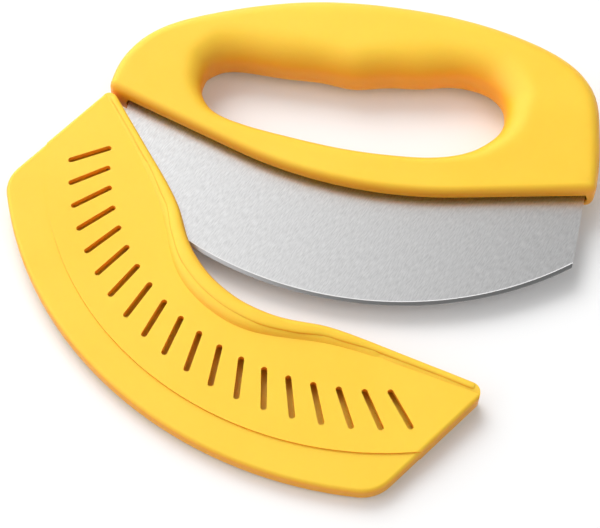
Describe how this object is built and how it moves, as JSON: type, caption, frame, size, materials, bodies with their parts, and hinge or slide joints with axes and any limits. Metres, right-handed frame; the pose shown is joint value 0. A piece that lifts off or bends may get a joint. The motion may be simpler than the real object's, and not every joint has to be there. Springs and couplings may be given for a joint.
{
  "type": "rocking pizza knife",
  "caption": "Hand-held rocking knife with a wide curved blade under a ring grip with a finger hole, and a slotted crescent cover that swings over the blade.",
  "frame": {"origin": "middle of the grip's flat back, which the knife lies on", "axes": "+X along the handle to the right as seen from the front, +Y from the blade to the top of the grip, +Z out of the front face"},
  "size_m": [0.2144, 0.2084, 0.023],
  "materials": {
    "handle_plastic": "satin",
    "cover_plastic": "satin",
    "blade_steel": "brushed"
  },
  "bodies": {
    "knife": {"handle_front_shell": "handle_plastic", "handle_back_shell": "handle_plastic", "blade": "blade_steel"},
    "cover": {"cover_front_shell": "cover_plastic", "cover_back_shell": "cover_plastic"}
  },
  "joints": [
    {"name": "cover_swing", "type": "hinge", "parent": "knife", "child": "cover", "pos_m": [-0.09367, -0.04704, 0.0115], "axis": [0, 0, 1], "range_deg": [-50, 29.3]}
  ]
}
